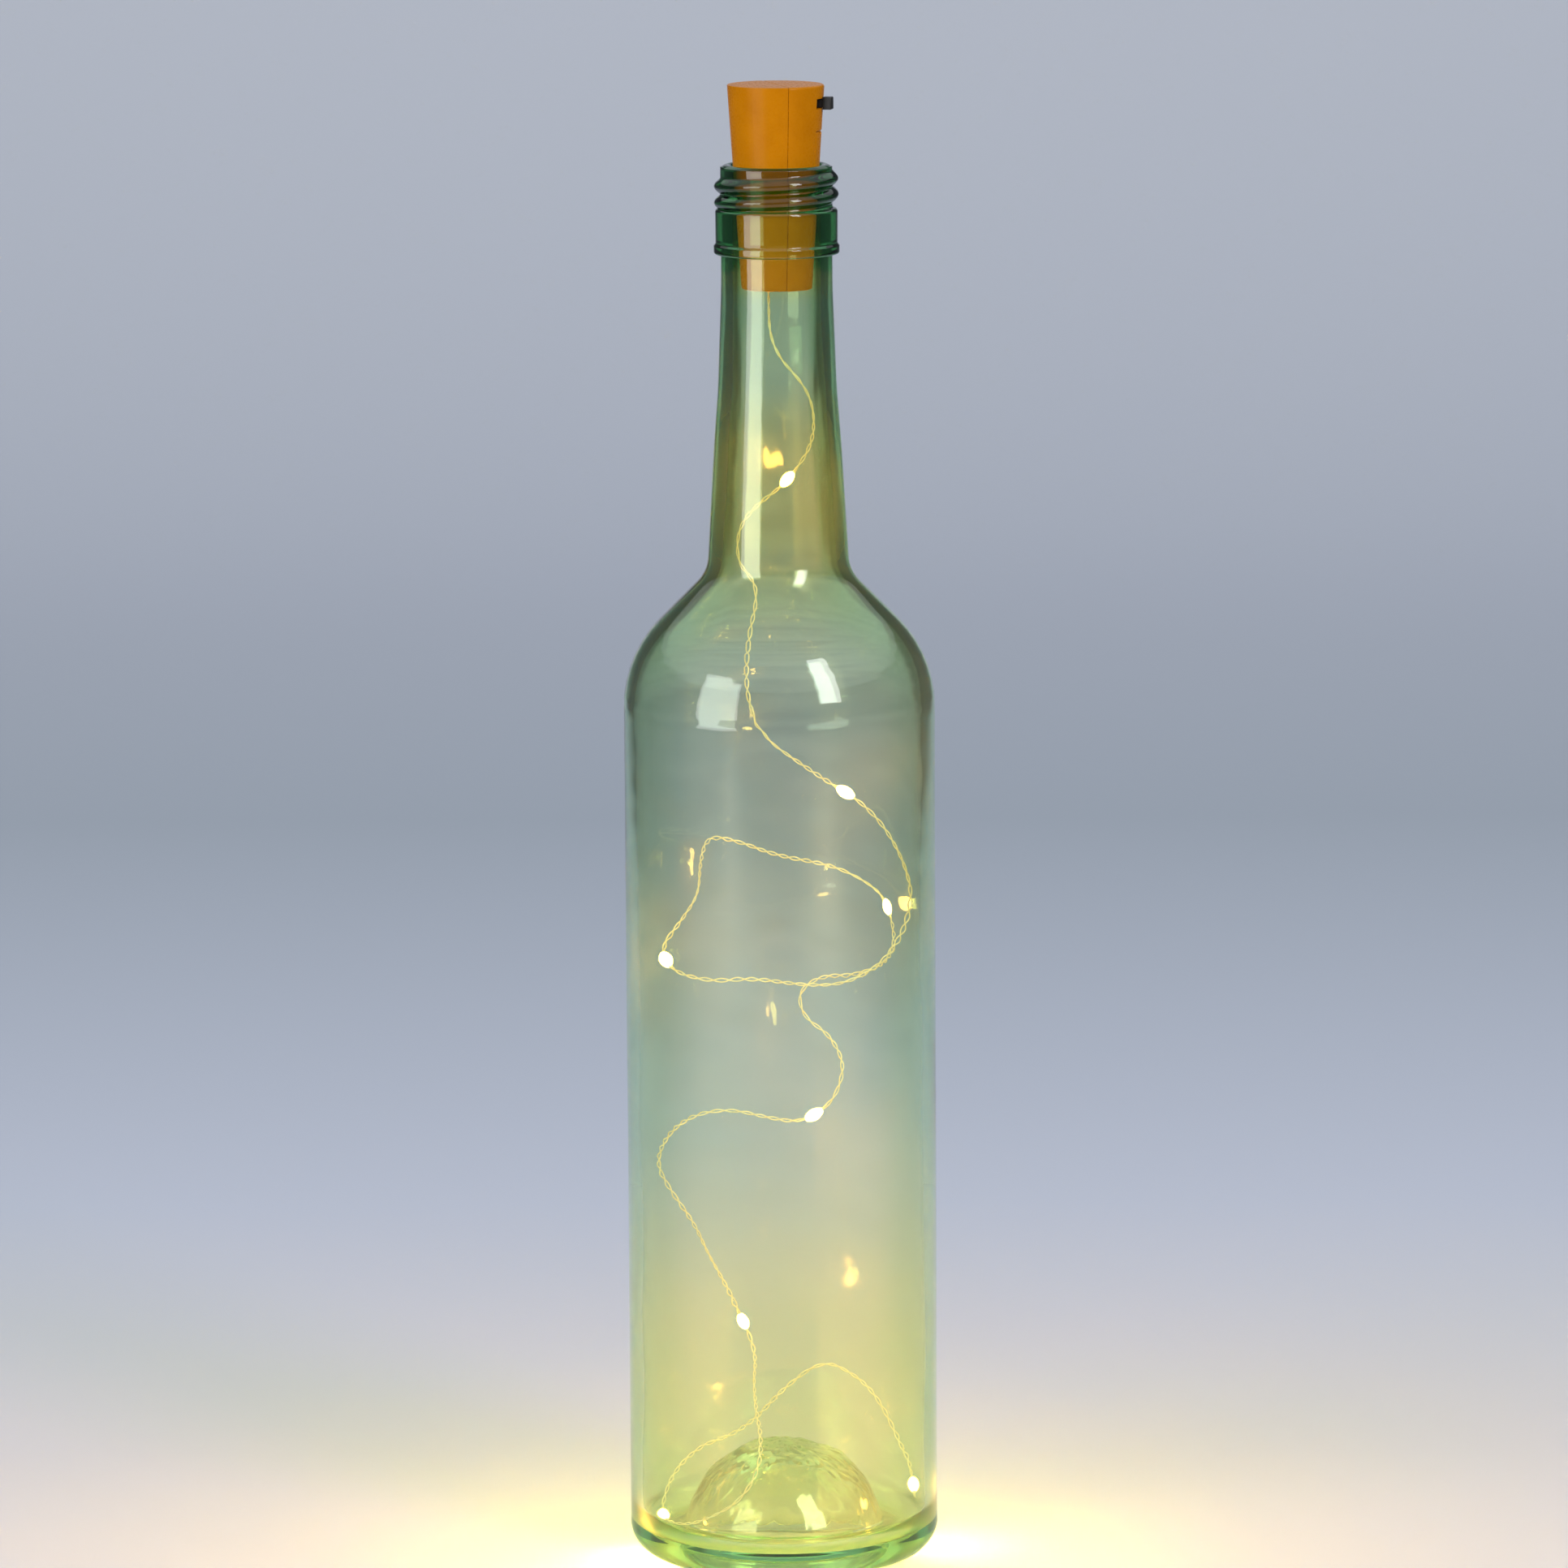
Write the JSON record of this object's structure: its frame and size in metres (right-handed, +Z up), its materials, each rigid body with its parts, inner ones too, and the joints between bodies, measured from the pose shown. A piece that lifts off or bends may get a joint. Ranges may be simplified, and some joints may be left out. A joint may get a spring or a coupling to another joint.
{
  "type": "cork bottle light",
  "caption": "Clear green bottle lit from inside by a string of warm lights on fine wire, hanging from a cork-shaped battery lamp with a slide switch and a sliding battery cover.",
  "frame": {"origin": "centre of the bottle's foot, on the surface it stands on", "axes": "+Z up along the bottle, -Y the pictured front, +X to its right"},
  "size_m": [0.075, 0.075, 0.3575],
  "materials": {
    "bottle_glass": "clear green-blue glass",
    "cork_plastic": "satin ochre",
    "holder_plastic": "satin off-white",
    "cell_steel": "bright",
    "contact_metal": "bright plated",
    "board": "satin green",
    "switch_steel": "bright",
    "black_plastic": "satin black",
    "wire_metal": "lacquered copper",
    "seal_glue": "clear set glue",
    "bead_resin": "clear resin",
    "led_phosphor": "yellow phosphor"
  },
  "bodies": {
    "bottle": {"bottle": "bottle_glass"},
    "cork_light": {"cork_half_left": "cork_plastic", "cork_half_right": "cork_plastic", "battery_holder": "holder_plastic", "battery_cell_1": "cell_steel", "battery_cell_2": "cell_steel", "battery_cell_3": "cell_steel", "contact_leaf": "contact_metal", "contact_plate": "contact_metal", "circuit_board": "board", "switch_terminals": "contact_metal", "switch_body": "switch_steel", "resistor": "black_plastic", "feed_wire": "wire_metal", "battery_lead": "wire_metal", "wire_seal": "seal_glue", "light_wire": "wire_metal", "led_bead_1": "bead_resin", "led_bead_2": "bead_resin", "led_bead_3": "bead_resin", "led_bead_4": "bead_resin", "led_bead_5": "bead_resin", "led_bead_6": "bead_resin", "led_bead_7": "bead_resin", "led_bead_8": "bead_resin", "led_chip_1": "led_phosphor", "led_chip_2": "led_phosphor", "led_chip_3": "led_phosphor", "led_chip_4": "led_phosphor", "led_chip_5": "led_phosphor", "led_chip_6": "led_phosphor", "led_chip_7": "led_phosphor", "led_chip_8": "led_phosphor"},
    "battery_cover": {"battery_cover": "cork_plastic"},
    "switch_slider": {"switch_lever": "black_plastic", "switch_knob": "black_plastic"}
  },
  "joints": [
    {"name": "cork_pull", "type": "slide", "parent": "bottle", "child": "cork_light", "axis": [0, 0, 1], "range_m": [0, 0.04]},
    {"name": "battery_cover_slide", "type": "slide", "parent": "cork_light", "child": "battery_cover", "axis": [-0.0654, -0.0057, -0.9978], "range_m": [0, 0.024]},
    {"name": "switch_slide", "type": "slide", "parent": "cork_light", "child": "switch_slider", "axis": [-0.2588, -0.9659, 0], "range_m": [0, 0.0025]}
  ]
}
